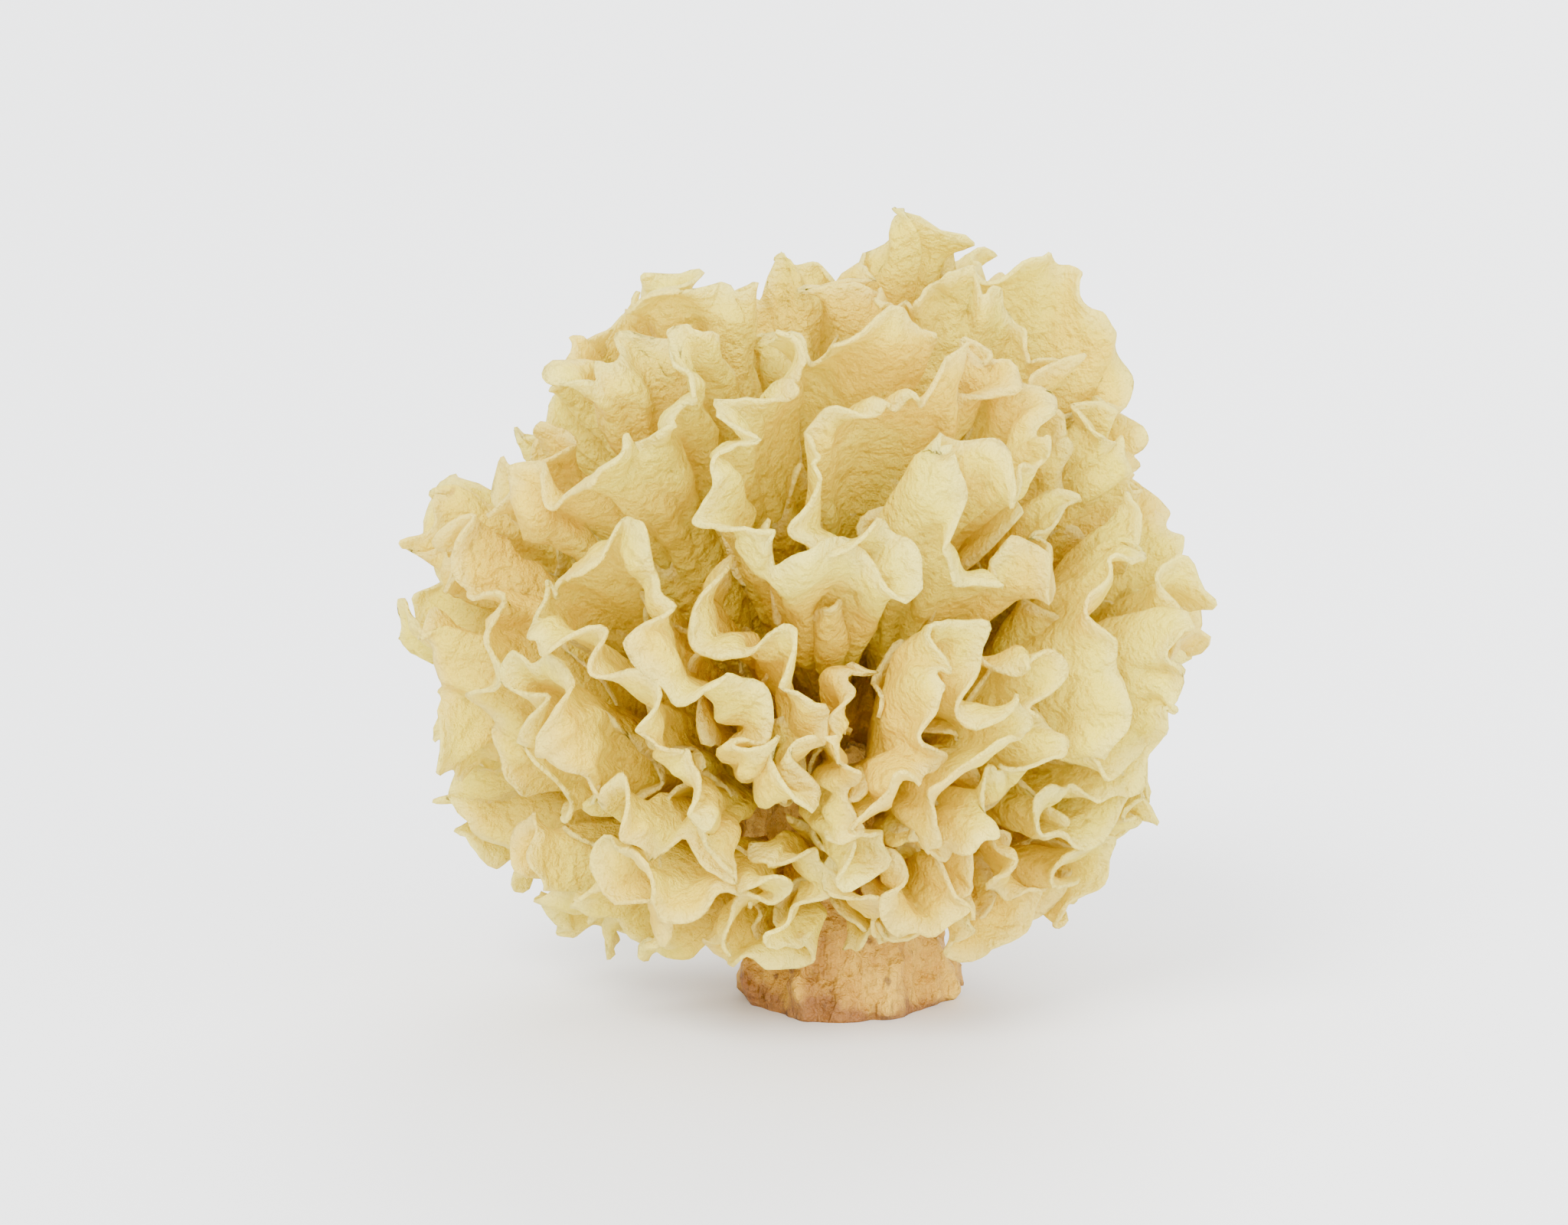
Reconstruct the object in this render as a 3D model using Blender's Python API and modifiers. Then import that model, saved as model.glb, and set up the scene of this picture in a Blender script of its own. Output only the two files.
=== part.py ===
"""Dried snow fungus head: ruffled fronds grown out of a foot, standing on the foot's cut. Metres, +Z up.

The origin is the middle of the cut, on the ground. +X is the side that the tallest lobe leans to, and -Y the
side that is looked at. Each frond is one long sheet. Its root is a short line on the foot, and every row
further out is longer than the row before, so the sheet has to fold, as the living fungus does. All the fronds
grow together and keep off each other, so no two of them cross.
"""

import math

import bmesh
import bpy
import numpy as np

MM = 0.001
SEED = 10

# Driving dimensions
GROWTH_POINT = np.array([0.0, 0.0, 17.5]) * MM  # the point in the foot that the fronds spread from
ROOT_RADIUS = 10.5 * MM  # where the fronds start, measured from the growth point
BODY_CENTRE = np.array([-5.0, 0.0, 41.0]) * MM
BODY_SEMI_AXES = np.array([43.0, 38.0, 42.0]) * MM
FROND_SPACING = 5.0 * MM  # between neighbouring folds at the rims
ROOT_SPACING_SHARE = 0.42  # the same at the roots, as a share of that
ROOT_LENGTH = 8.5 * MM
BEND_SHARE = 0.3  # how far along a frond its bending is evened out, as a share of the spacing
RIM_PER_AREA = 2.7  # rim length x spacing / usable area of outer surface
LOBE_EDGE = 2.0 * MM  # what of a lobe's width stays free
FROND_THICKNESS = 1.0 * MM
LOWEST_SLOPE = -0.46  # z of a unit vector from the growth point along the lowest fronds
LEAN = 0.14  # how far the rims lean over sideways, as a share of their distance
LOBE_DIP = 0.18  # depth of the valleys between lobes, as a share of the reach
LOBE_SHARPNESS = 14.0
RIM_DIP = 0.16  # depth of the notches along a rim, as a share of the reach
RIM_WAVES = 2.3  # the longest of the notches' waves, as how often it fits along a rim
END_DIP = 0.25  # how much lower a rim ends on either side
LEAN_WAVES = 2.6  # how quickly the lean's direction changes round the head
LEAN_START = 0.45  # share of the way out from which the fronds lean

FOOT_CUT_RADIUS = 9.7 * MM
FOOT_SKIN_BULGE = 0.6 * MM
FOOT_SKIN_HEIGHT = 1.8 * MM  # where the bulge of the skin is, and how far it spreads up and down
FOOT_NECK_RADIUS = 8.9 * MM
FOOT_DOME_RADIUS = 10.0 * MM
FOOT_NECK_TOP = 11.0 * MM

# The main forks, as azimuth and angle from upright in degrees, and reach as a share of the body's outline
LOBES = (
    (10, 18, 1.08), (100, 27, 0.97), (190, 27, 0.98), (278, 26, 1.02),
    (18, 61, 0.98), (72, 62, 0.97), (126, 64, 0.97), (180, 62, 0.98),
    (232, 63, 1.02), (283, 65, 1.0), (334, 61, 1.03),
    (48, 95, 1.0), (112, 96, 0.97), (174, 94, 1.02), (236, 97, 1.0), (292, 96, 1.0), (352, 95, 1.04),
)

# Steps of the growth; the lengths are shares of the spacing that the row has
COLUMNS = 132  # points along a frond
STAGES = 40  # rows from root to rim
SETTLES = 14  # how often each row is evened out
WOBBLE = 0.3
LINK_PULL = 0.42
LINK_GROWTH = 1.35  # the most that a link grows in one go
TOUCH = 1.25  # folds closer than this may push each other
TOUCH_PUSH = 0.14
SPACING_VARIATION = 0.15
LONGEST_MOVE = 0.12
LOBE_PULL = 0.3
ROOT_MARGIN = 0.12  # how clear of its lobe's border a frond stays at the root
RIM_MARGIN = -0.03  # the same at the rim, where it may cross the border a little
PROBES = 40000

SHEET_ROWS = 9
SHEET_SHARE = 0.095  # share of a sheet's faces that stay after it is made coarser


def unit(v):
    return v / np.linalg.norm(v, axis=-1, keepdims=True)


def lobe_axes():
    azimuth, polar, reach = np.array(LOBES).T
    azimuth, polar = np.radians(azimuth), np.radians(polar)
    flat = np.sin(polar)
    return np.stack([flat * np.cos(azimuth), flat * np.sin(azimuth), np.cos(polar)], axis=1), reach


def outline(u, axes, reaches):
    """Distance from the growth point to the lobed outer surface, along each unit vector u."""
    offset = (GROWTH_POINT - BODY_CENTRE) / BODY_SEMI_AXES
    ray = u / BODY_SEMI_AXES
    a = (ray * ray).sum(-1)
    b = (ray * offset).sum(-1)
    c = (offset * offset).sum() - 1.0
    to_body = (-b + np.sqrt(np.maximum(b * b - a * c, 0.0))) / a
    share = np.exp(LOBE_SHARPNESS * (u @ axes.T - 1.0))
    share /= share.sum(-1, keepdims=True)
    return to_body * (share @ reaches) * (1.0 - LOBE_DIP * (1.0 - share.max(-1)))


def distance_out(u, t, axes, reaches):
    return ROOT_RADIUS + (outline(u, axes, reaches) - ROOT_RADIUS) * t


def evened(rows, reach):
    """Rows of points, smoothed along each row over this many columns to either side, with its ends held."""
    column = np.arange(COLUMNS)
    from_end = np.minimum(column, COLUMNS - 1 - column)
    stride = 1
    while stride <= reach:
        step = np.minimum(stride, from_end)
        rows = 0.5 * rows + 0.25 * (rows[:, column - step] + rows[:, column + step])
        stride *= 2
    return rows


def root_lines(axes, rng):
    """A short, slightly wavy line of unit vectors round each lobe's axis."""
    s = np.linspace(-1.0, 1.0, COLUMNS)
    half_angle = 0.5 * ROOT_LENGTH / ROOT_RADIUS
    lines = []
    for axis in axes:
        side = unit(np.cross(axis, rng.normal(size=3)))
        side = unit(side * (1.0, 1.0, 1.0 if axis[2] > 0.4 else 0.3))
        up = np.cross(axis, side)
        wave = 0.1 * np.sin(s * rng.uniform(5.0, 8.0) + rng.uniform(0.0, 6.0))
        lines.append(unit(axis + np.outer(half_angle * s, side) + np.outer(wave, up)))
    return np.concatenate(lines)


def full_lengths(axes, reaches, rng):
    """Rim length of each frond, from the share of the outer surface that its lobe takes up."""
    probes = unit(rng.normal(size=(PROBES, 3)))
    probes = probes[probes[:, 2] > LOWEST_SLOPE]
    lobe = (probes @ axes.T).argmax(1)
    area = np.bincount(lobe, weights=outline(probes, axes, reaches) ** 2, minlength=len(axes))
    width = np.sqrt(area * (4.0 * math.pi / PROBES)) - LOBE_EDGE
    return RIM_PER_AREA * width ** 2 / FROND_SPACING


def near_pairs(x, reach_of_touch, owner, spread):
    """Pairs of points that are close in space but not next to each other along the same frond."""
    square = (x * x).sum(1)
    apart = square[:, None] + square[None, :] - 2.0 * x @ x.T
    i, j = np.nonzero(apart < reach_of_touch ** 2)
    i, j = i[i < j], j[i < j]
    along = np.where(owner[i] == owner[j], (j - i) * spread[owner[i]], 1.0)
    apart_on_sheet = along > 1.3 * reach_of_touch
    return i[apart_on_sheet], j[apart_on_sheet]


def grown_rows(axes, reaches, rng):
    """Unit vectors of every frond's points, row by row: rows x fronds x columns x 3."""
    fronds = len(axes)
    shape = (fronds, COLUMNS, 3)
    owner = np.repeat(np.arange(fronds), COLUMNS)
    index = np.arange(fronds * COLUMNS)
    start = index[(index + 1) % COLUMNS != 0]
    rim_length = full_lengths(axes, reaches, rng)
    u = root_lines(axes, rng)
    crowding = rng.normal(size=(6, 3)) * 3.0
    rows = []
    for t in np.linspace(0.0, 1.0, STAGES + 1):
        gap = FROND_SPACING * (ROOT_SPACING_SHARE + (1.0 - ROOT_SPACING_SHARE) * t)
        link = ((ROOT_LENGTH + (rim_length - ROOT_LENGTH) * t) / (COLUMNS - 1))[owner[start]]
        x = u * distance_out(u, t, axes, reaches)[:, None]
        bend = BEND_SHARE * gap / np.median(np.linalg.norm(x[start + 1] - x[start], axis=1))
        wobble = evened(evened(rng.normal(size=shape), 2.0 * bend), bend).reshape(-1, 3)
        wobble *= WOBBLE * gap / wobble.std()
        for settle in range(SETTLES):
            out = distance_out(u, t, axes, reaches)[:, None]
            x = u * out
            move = 0.25 * (evened(x.reshape(shape), bend).reshape(-1, 3) - x)
            if settle == 0:
                move += wobble
            # Each link grows towards its length, a little at a time
            step = x[start + 1] - x[start]
            far = np.linalg.norm(step, axis=1)
            pull = LINK_PULL * (1.0 - np.minimum(link / far, LINK_GROWTH))[:, None] * step
            np.add.at(move, start, pull)
            np.add.at(move, start + 1, -pull)
            # Folds that come too close push each other away
            room = gap * (1.0 + SPACING_VARIATION * np.tanh(np.sin(u @ crowding.T).sum(-1)))
            spread = np.linalg.norm(np.diff(x.reshape(shape), axis=1), axis=2).mean(1)
            i, j = near_pairs(x, TOUCH * gap, owner, spread)
            step = x[j] - x[i]
            far = np.linalg.norm(step, axis=1)
            push = (TOUCH_PUSH * np.maximum(0.5 * (room[i] + room[j]) / far - 1.0, 0.0))[:, None] * step
            np.add.at(move, i, -push)
            np.add.at(move, j, push)
            # A frond stays in its own lobe
            along_axis = u @ axes.T
            own = along_axis[index, owner]
            along_axis[index, owner] = -2.0
            other = along_axis.argmax(1)
            over = along_axis[index, other] - own + ROOT_MARGIN + (RIM_MARGIN - ROOT_MARGIN) * t
            move += LOBE_PULL * np.maximum(over, 0.0)[:, None] * (axes[owner] - axes[other]) * out
            size = np.linalg.norm(move, axis=1, keepdims=True)
            x += move * np.minimum(1.0, LONGEST_MOVE * gap / np.maximum(size, 1e-12))
            u = unit(x)
            u[:, 2] += 0.5 * np.maximum(LOWEST_SLOPE + 0.08 - u[:, 2], 0.0)
            u = unit(u)
        rows.append(u.reshape(shape))
    rows = np.array(rows)
    for _ in range(3):
        middle = 0.5 * rows[1:-1] + 0.25 * (rows[:-2] + rows[2:])
        rows = unit(np.concatenate([rows[:1], middle, rows[-1:]]))
    return unit(evened(rows.reshape(-1, COLUMNS, 3), 2)).reshape(rows.shape)


def rim_heights(frond, columns):
    """How far out each column of a frond reaches, as a share of the outline."""
    rng = np.random.default_rng(SEED + 100 + frond)
    s = np.linspace(0.0, 1.0, columns)
    turn = 2.0 * math.pi * RIM_WAVES * s
    waves = sum(np.sin(turn * k + rng.uniform(0.0, 6.3)) / k ** 0.7 for k in range(1, 7))
    ends = np.exp(-30.0 * s) + np.exp(-30.0 * (1.0 - s))
    return 1.0 - 0.5 * RIM_DIP * (1.0 + np.tanh(0.4 * waves)) - END_DIP * ends


def lean(u, t, distance):
    """Sideways shift of the outer rows, the same for neighbours, so that the rims lean over together."""
    rng = np.random.default_rng(SEED + 4)
    shift = np.zeros_like(u)
    for _ in range(5):
        wave = rng.normal(size=3) * LEAN_WAVES
        direction = unit(rng.normal(size=3))
        shift += np.sin(u @ wave + rng.uniform(0.0, 6.3))[..., None] * direction
    shift -= (shift * u).sum(-1, keepdims=True) * u
    size = np.linalg.norm(shift, axis=-1, keepdims=True)
    shift *= np.tanh(1.2 * size) / np.maximum(size, 1e-9)
    ramp = np.clip((t - LEAN_START) / (1.0 - LEAN_START), 0.0, 1.0) ** 1.8
    return shift * LEAN * distance * ramp[..., None]


def sheet_points(rows, frond, axes, reaches):
    """The frond's mid surface as a grid of points, root row first."""
    tops = rim_heights(frond, COLUMNS)
    column = np.arange(COLUMNS)
    grid = []
    for share in np.linspace(0.0, 1.0, SHEET_ROWS):
        t = share * tops
        row = np.minimum((t * STAGES).astype(int), STAGES - 1)
        part = (t * STAGES - row)[:, None]
        u = unit(rows[row, frond, column] * (1.0 - part) + rows[row + 1, frond, column] * part)
        out = distance_out(u, t, axes, reaches)[:, None]
        grid.append(GROWTH_POINT + u * out + lean(u, t, out))
    return np.array(grid)


def material(name, colour, roughness):
    made = bpy.data.materials.new(name)
    made.use_nodes = True
    shader = made.node_tree.nodes["Principled BSDF"]
    shader.inputs["Base Color"].default_value = (*colour, 1.0)
    shader.inputs["Roughness"].default_value = roughness
    made.diffuse_color = (*colour, 1.0)
    return made


def add_object(name, bm, collection, look):
    mesh = bpy.data.meshes.new(name)
    bm.to_mesh(mesh)
    bm.free()
    mesh.shade_smooth()
    mesh.materials.append(look)
    made = bpy.data.objects.new(name, mesh)
    collection.objects.link(made)
    return made


def frond(name, points, collection, look):
    """A thin sheet through the grid of points, made coarser where it is flat, then given its thickness."""
    rows, columns, _ = points.shape
    bm = bmesh.new()
    bmesh.ops.create_grid(bm, x_segments=columns - 1, y_segments=rows - 1, size=0.5)
    bm.verts.ensure_lookup_table()
    for vertex, point in zip(bm.verts, points.reshape(-1, 3)):
        vertex.co = point
    made = add_object(name, bm, collection, look)
    coarser = made.modifiers.new("Coarser", "DECIMATE")
    coarser.ratio = SHEET_SHARE
    wall = made.modifiers.new("Wall", "SOLIDIFY")
    wall.thickness = FROND_THICKNESS
    wall.offset = 0.0
    return made


def foot_profile(rings):
    """Radius and height of each ring of the foot: the cut's edge first, then the neck, then the dome."""
    neck_rings = rings // 2
    s = np.linspace(0.0, 1.0, neck_rings)
    height = FOOT_NECK_TOP * s
    skin = FOOT_SKIN_BULGE * np.exp(-(height / FOOT_SKIN_HEIGHT - 1.0) ** 2)
    radius = FOOT_NECK_RADIUS + (FOOT_CUT_RADIUS - FOOT_NECK_RADIUS) * (1.0 - s) ** 2 + skin
    first = math.asin((FOOT_NECK_TOP - GROWTH_POINT[2]) / FOOT_DOME_RADIUS)
    angle = np.linspace(first, math.pi / 2, rings - neck_rings + 2)[1:-1]
    radius = np.concatenate([radius, FOOT_DOME_RADIUS * np.cos(angle)])
    height = np.concatenate([height, GROWTH_POINT[2] + FOOT_DOME_RADIUS * np.sin(angle)])
    return radius, height


def foot(name, collection, look, sides=28, rings=15):
    """The solid stub that carries the fronds, with a flat cut below."""
    radius, height = foot_profile(rings)
    bm = bmesh.new()
    bmesh.ops.create_uvsphere(bm, u_segments=sides, v_segments=rings + 1, radius=1.0)
    for vertex in bm.verts:
        ring = round((rings + 1) * (1.0 - math.acos(max(-1.0, min(1.0, vertex.co.z))) / math.pi)) - 1
        around = math.atan2(vertex.co.y, vertex.co.x)
        if ring < 0:
            vertex.co = (0.0, 0.0, 0.0)
        elif ring >= rings:
            vertex.co = (0.0, 0.0, GROWTH_POINT[2] + FOOT_DOME_RADIUS)
        else:
            uneven = 0.05 * math.sin(3 * around + 0.6) + 0.03 * math.sin(7 * around + 2.0)
            fade = max(0.0, 1.0 - height[ring] / (0.8 * FOOT_NECK_TOP))
            r = radius[ring] * (1.0 + uneven * fade)
            vertex.co = (r * math.cos(around), r * math.sin(around), height[ring])
    return add_object(name, bm, collection, look)


def main():
    for old in list(bpy.data.objects):
        bpy.data.objects.remove(old)
    collection = bpy.data.collections.new("snow_fungus")
    bpy.context.scene.collection.children.link(collection)
    foot("foot", collection, material("foot_skin", (0.66, 0.41, 0.16), 0.6))
    rng = np.random.default_rng(SEED)
    axes, reaches = lobe_axes()
    rows = grown_rows(axes, reaches, rng)
    for number in range(len(axes)):
        paleness = 0.92 + 0.12 * axes[number][2]
        colour = (0.72 * paleness, 0.53 * paleness, 0.22 * paleness)
        look = material(f"frond_flesh_{number + 1:02d}", colour, 0.45)
        frond(f"frond_{number + 1:02d}", sheet_points(rows, number, axes, reaches), collection, look)


main()
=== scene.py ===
"""Dried snow fungus head, standing on its cut foot in soft studio light. Metres, +Z up.

The fronds are grown again by the rule that made the solids, on a finer grid. Then they get what the
solids leave out: ruffles that grow towards the rim, curled and ragged lips, crumples, a frill that
branches off inside, and walls as thin as dry flesh.
"""

import math

import bmesh
import bpy
import numpy as np
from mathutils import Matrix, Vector


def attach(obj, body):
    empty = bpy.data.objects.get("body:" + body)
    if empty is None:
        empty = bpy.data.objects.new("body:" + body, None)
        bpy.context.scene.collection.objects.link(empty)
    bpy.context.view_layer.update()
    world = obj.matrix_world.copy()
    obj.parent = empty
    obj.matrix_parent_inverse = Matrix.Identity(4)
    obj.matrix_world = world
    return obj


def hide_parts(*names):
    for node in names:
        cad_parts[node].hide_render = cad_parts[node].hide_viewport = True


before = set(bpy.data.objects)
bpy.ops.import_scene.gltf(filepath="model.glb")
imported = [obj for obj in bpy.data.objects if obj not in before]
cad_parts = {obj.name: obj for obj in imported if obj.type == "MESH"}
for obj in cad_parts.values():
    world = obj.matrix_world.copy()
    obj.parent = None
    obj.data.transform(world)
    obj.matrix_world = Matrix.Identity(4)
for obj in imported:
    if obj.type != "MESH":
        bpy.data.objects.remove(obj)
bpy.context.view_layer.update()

MM = 0.001
SEED = 10
ANY_PHASE = (0.0, 6.3)  # a wave starts anywhere in its turn

# The solids' own sizes, which the growth is worked out from
GROWTH_POINT = np.array([0.0, 0.0, 17.5]) * MM  # the point in the foot that the fronds spread from
ROOT_RADIUS = 10.5 * MM  # where the fronds start, measured from the growth point
BODY_CENTRE = np.array([-5.0, 0.0, 41.0]) * MM
BODY_SEMI_AXES = np.array([43.0, 38.0, 42.0]) * MM
FROND_SPACING = 5.0 * MM  # between neighbouring folds at the rims
ROOT_SPACING_SHARE = 0.42  # the same at the roots, as a share of that
ROOT_LENGTH = 8.5 * MM
STEEP = 0.4  # z of a lobe's axis from which its root line may run any way
LEVEL_SHARE = 0.3  # how much of their slope the other root lines keep
ROOT_WAVE = 0.1
ROOT_WAVE_TURNS = (5.0, 8.0)
ROOT_WAVE_PHASE = (0.0, 6.0)
BEND_SHARE = 0.3  # how far along a frond its bending is evened out, as a share of the spacing
RIM_PER_AREA = 2.7  # rim length x spacing / usable area of outer surface
LOBE_EDGE = 2.0 * MM  # what of a lobe's width stays free
LOWEST_SLOPE = -0.46  # z of a unit vector from the growth point along the lowest fronds
SLOPE_MARGIN = 0.08  # how far above that a frond starts to be held up
LOBE_DIP = 0.18  # depth of the valleys between lobes, as a share of the reach
LOBE_SHARPNESS = 14.0
RIM_DIP = 0.16  # depth of the notches along a rim, as a share of the reach
RIM_WAVES = 2.3  # the longest of the notches' waves, as how often it fits along a rim
RIM_WAVE_COUNT = 6
RIM_WAVE_FALL = 0.7  # how quickly the shorter waves get lower
RIM_WAVE_SHARPNESS = 0.4
RIM_SEED = SEED + 100
END_DIP = 0.25  # how much lower a rim ends on either side
END_FALL = 30.0
LEAN = 0.14  # how far the rims lean over sideways, as a share of their distance
LEAN_WAVES = 2.6  # how quickly the lean's direction changes round the head
LEAN_WAVE_COUNT = 5
LEAN_START = 0.45  # share of the way out from which the fronds lean
LEAN_SHARPNESS = 1.2
LEAN_GROWTH = 1.8
LEAN_SEED = SEED + 4

# The main forks, as azimuth and angle from upright in degrees, and reach as a share of the body's outline
LOBES = (
    (10, 18, 1.08), (100, 27, 0.97), (190, 27, 0.98), (278, 26, 1.02),
    (18, 61, 0.98), (72, 62, 0.97), (126, 64, 0.97), (180, 62, 0.98),
    (232, 63, 1.02), (283, 65, 1.0), (334, 61, 1.03),
    (48, 95, 1.0), (112, 96, 0.97), (174, 94, 1.02), (236, 97, 1.0), (292, 96, 1.0), (352, 95, 1.04),
)

# Steps of the growth; the lengths are shares of the spacing that the row has
COLUMNS = 132  # points along a frond
STAGES = 40  # rows from root to rim
SETTLES = 14  # how often each row is evened out
EVEN_PULL = 0.25
WOBBLE = 0.3
LINK_PULL = 0.42
LINK_GROWTH = 1.35  # the most that a link grows in one go
TOUCH = 1.25  # folds closer than this may push each other
TOUCH_PUSH = 0.14
APART_ALONG = 1.3  # points of one frond push each other only from this many reaches apart along it
OTHER_FROND = 1.0  # taken as the way along from one frond to another, more than any reach
SPACING_VARIATION = 0.15
CROWDING_WAVES = 6
CROWDING_TURNS = 3.0
LONGEST_MOVE = 0.12
LOBE_PULL = 0.3
NOT_A_NEIGHBOUR = -2.0  # below any lobe's share, so that a frond's own lobe isn't taken for the next one
ROOT_MARGIN = 0.12  # how clear of its lobe's border a frond stays at the root
RIM_MARGIN = -0.03  # the same at the rim, where it may cross the border a little
PROBES = 40000
LAST_ROW_EVENINGS = 3
LAST_COLUMN_REACH = 2

FOOT_CUT_RADIUS = 9.7 * MM
FOOT_SKIN_BULGE = 0.6 * MM
FOOT_SKIN_HEIGHT = 1.8 * MM  # where the bulge of the skin is, and how far it spreads up and down
FOOT_NECK_RADIUS = 8.9 * MM
FOOT_DOME_RADIUS = 10.0 * MM
FOOT_NECK_TOP = 11.0 * MM
FOOT_LOBES = ((0.05, 3, 0.6), (0.03, 7, 2.0))  # depth as a share of the radius, how many, where they start
FOOT_LOBES_TOP = 0.8 * FOOT_NECK_TOP

# The fine surface; two lengths are the longest and the shortest wave
RIM_STEP = 0.45 * MM  # between columns at the rim
SHEET_ROWS = 26
ROW_CROWDING = 1.35  # above 1, the rows lie closer towards the rim
SHEET_SEED = SEED + 200
NORMAL_SOFTENING = 18
LIP_SOFTENING = 3
ROOT_BURIED = 0.9 * MM  # how far the roots run into the foot
WALL = 0.45 * MM
LIP_WALL_SHARE = 0.85  # thickness of the lip, as a share of the wall
WAVE_COUNT = 9
WAVE_FALL = 0.8  # how quickly shorter waves get lower
WAVE_SPREAD = (0.9, 1.1)
RUFFLE_DEPTH = 1.15 * MM
RUFFLE_LENGTHS = (9.0 * MM, 3.0 * MM)
RUFFLE_SLANT = 2.5 * MM  # how far a ruffle moves along the frond on its way out
RUFFLE_START = 0.12  # level at which the ruffles begin
RUFFLE_GROWTH = 1.2
FRILL_DEPTH = 0.5 * MM  # small waves of the outermost flesh
FRILL_WIDTH = 6.0 * MM
FRILL_LENGTHS = (4.2 * MM, 2.6 * MM)
FRILL_SLANT = 1.2 * MM
FRILL_GROWTH = 1.3
CURL_WIDTH = 4.5 * MM
CURL_REACH = 2.8 * MM
CURL_LENGTHS = (24.0 * MM, 8.0 * MM)
CURL_WAVES = 5
CURL_SHARPNESS = 1.8
CURL_GROWTH = 1.8
CURL_SINK = 0.5  # how much lower a curled lip lies, as a share of its reach
CURL_SINK_GROWTH = 2
RAGGED_DEPTH = 2.4 * MM
RAGGED_LENGTHS = (15.0 * MM, 4.5 * MM)
RAGGED_SHARPNESS = 1.4
NOTCH_DEPTH = 0.8 * MM  # the smallest notches of the lips
NOTCH_LENGTHS = (5.5 * MM, 3.0 * MM)
NOTCH_SHARPNESS = 1.2
LIVELY_MEAN = 0.62  # how strongly a place is ruffled, and by how much that differs round the head
LIVELY_SWING = 0.38
LIVELY_LENGTH = 26.0 * MM
LIVELY_SHARPNESS = 1.5
LIVELY_SEED = SEED + 3
CRUMPLES = ((9.0, 0.85), (4.6, 0.52), (2.4, 0.22))  # wave length and depth in mm
CRUMPLE_WAVES = 14
CRUMPLE_SPREAD = (0.8, 1.3)
CRUMPLE_AXIS_SHARE = 0.58  # of the depth, along each of the three axes
CRUMPLE_SEED = SEED + 20

# The shorter frill inside each frond
INNER_STEP = 0.8 * MM
INNER_ROWS = 12
INNER_START = 0.14  # level at which it branches off
INNER_LOWEST = 0.45  # how high its rim is, as a share of the frond's
INNER_HIGHEST = 0.88
INNER_RIM_LENGTHS = (16.0 * MM, 3.5 * MM)
INNER_RIM_SHARPNESS = 1.3
INNER_OFFSET = 1.7 * MM
INNER_SIDE_LENGTHS = (22.0 * MM, 11.0 * MM)  # how often it changes to the frond's other side
INNER_SIDE_WAVES = 4
INNER_SIDE_SHARPNESS = 2.0
INNER_BRANCHING = 0.35  # how many levels it needs to get away from the frond
INNER_BRANCH_CURVE = 0.8
INNER_COLUMN_REACH = 1
INNER_SOFTENING = 9
INNER_RUFFLE_SHARE = 0.6

# The foot's skin
FOOT_SIDES = 140
FOOT_RINGS = 79
FOOT_SEED = SEED + 60
FOOT_CREASES = ((6.0, 0.5, 0.35), (2.6, 0.3, 0.45), (1.2, 0.12, 0.7))  # wave length and depth in mm, squash
FOOT_RAISED = 1.5 * MM  # height from which the creases are as deep as they get
CUT_CREASE_SHARE = 0.35
POLE = 0.9999  # height on the round sphere beyond which a point is its top or its bottom one

# Colours as linear red, green and blue, how much of each goes on, and where
# The flesh ramp runs from root to rim. Its dark amber low end is partly the flesh's own colour and partly
# painted shade deep between the fronds.
FLESH_TONE_AND_SHADE_STOPS = (
    (0.0, (0.80, 0.40, 0.012)),
    (0.30, (0.90, 0.60, 0.02)),
    (0.60, (0.95, 0.765, 0.045)),
    (0.85, (0.97, 0.87, 0.085)),
    (1.0, (0.98, 0.92, 0.15)),
)
PATCH_SWAY = 0.36  # how far the patches and the mottle shift the level that a colour is taken from
MOTTLE_SWAY = 0.22
TINT = 0.05  # the same shift for whole fronds
TINT_TURN = 7.0
FLESH_GLOW = (0.97, 0.82, 0.07, 1.0)  # colour of the light that comes through the flesh
FLESH_GLOW_SHARE = 0.48
FLESH_WARM = (0.97, 0.63, 0.02, 1.0)
FLESH_WARM_SHARE = 0.6
FLESH_LIP = (0.98, 0.90, 0.33, 1.0)
FLESH_LIP_SHARE = 0.45
LIP_FROM = 0.2 * MM
LIP_TO = 2.2 * MM
FLESH_SPECK = (0.36, 0.17, 0.05, 1.0)
FLESH_SPECK_SHARE = 0.55
WRINKLE_DEPTH = 0.9 * MM
BROAD_WRINKLES = 1.8  # height of the broad wrinkles beside the fine ones
FLESH_ROUGHNESS = 0.34
FLESH_ROUGHNESS_SWAY = 0.26
FLESH_IOR = 1.42
SKIN_STOPS = (
    (0.30, (0.30, 0.12, 0.008)),
    (0.48, (0.54, 0.27, 0.014)),
    (0.70, (0.74, 0.45, 0.035)),
)
SKIN_INSIDE = (0.70, 0.40, 0.05, 1.0)
INSIDE_FROM = 7.5 * MM  # the flesh between the fronds begins here
INSIDE_TO = 11.0 * MM
SKIN_EDGE = (0.20, 0.065, 0.008, 1.0)
SKIN_EDGE_SHARE = 0.85
EDGE_FROM = 0.4 * MM  # the brown of the cut's edge fades out between these heights
EDGE_TO = 2.8 * MM
EDGE_SWAY = 14.0 * MM
SKIN_SPECK = (0.13, 0.05, 0.01, 1.0)
SKIN_SPECK_SHARE = 0.75
SKIN_CREASE_STRETCH = (1.0, 1.0, 0.22)
SKIN_CREASES = 2.0  # height of the creases beside the grain
SKIN_DEPTH = 1.2 * MM
SKIN_ROUGHNESS = 0.62
SKIN_ROUGHNESS_SWAY = 0.2
FLOOR_COLOUR = (0.86, 0.865, 0.87)
FLOOR_ROUGHNESS = 0.55
FLOOR_SIZE = 10.0

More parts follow.
